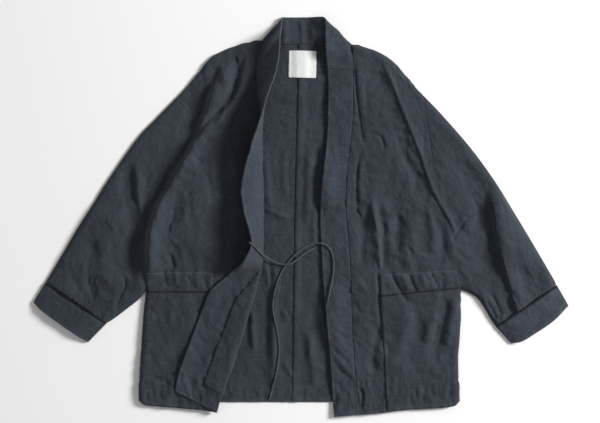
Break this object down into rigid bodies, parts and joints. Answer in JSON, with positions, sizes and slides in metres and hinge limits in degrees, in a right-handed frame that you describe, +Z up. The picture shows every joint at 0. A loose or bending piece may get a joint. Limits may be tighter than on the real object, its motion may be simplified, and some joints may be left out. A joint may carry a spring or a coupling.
{
  "type": "noragi jacket",
  "caption": "Open-fronted noragi jacket of plain indigo cotton, laid flat on its back, with a standing and turned-back front edge, patch pockets, cuffs, bare neck label and tie cords.",
  "frame": {"origin": "centre of the laid-out jacket's footprint, on the surface that it lies on", "axes": "+Z up out of the surface, +Y from hem to neck, +X towards the sleeve on the wearer's left; the back panel is underneath and the open front faces up"},
  "size_m": [1.1192, 0.8384, 0.0644],
  "materials": {
    "indigo_cloth": "matt plain-weave cotton, faded indigo to charcoal, lightly crinkled",
    "dark_piping": "matt near-black cotton tape",
    "label_cloth": "fine white woven cloth, bare",
    "tie_cord": "matt twisted cotton cord"
  },
  "bodies": {
    "root": {"back_right": "indigo_cloth", "back_left": "indigo_cloth", "front_right": "indigo_cloth", "front_left": "indigo_cloth", "sleeve_right": "indigo_cloth", "sleeve_left": "indigo_cloth", "cuff_right": "indigo_cloth", "cuff_left": "indigo_cloth", "cuff_piping_right": "dark_piping", "cuff_piping_left": "dark_piping", "collar_band_neck": "indigo_cloth", "collar_band_right": "indigo_cloth", "collar_band_left": "indigo_cloth", "pocket_right": "indigo_cloth", "pocket_left": "indigo_cloth", "pocket_band_right": "indigo_cloth", "pocket_band_left": "indigo_cloth", "pocket_piping_right": "dark_piping", "pocket_piping_left": "dark_piping", "label": "label_cloth", "tie_right": "tie_cord", "tie_left": "tie_cord"}
  },
  "joints": []
}
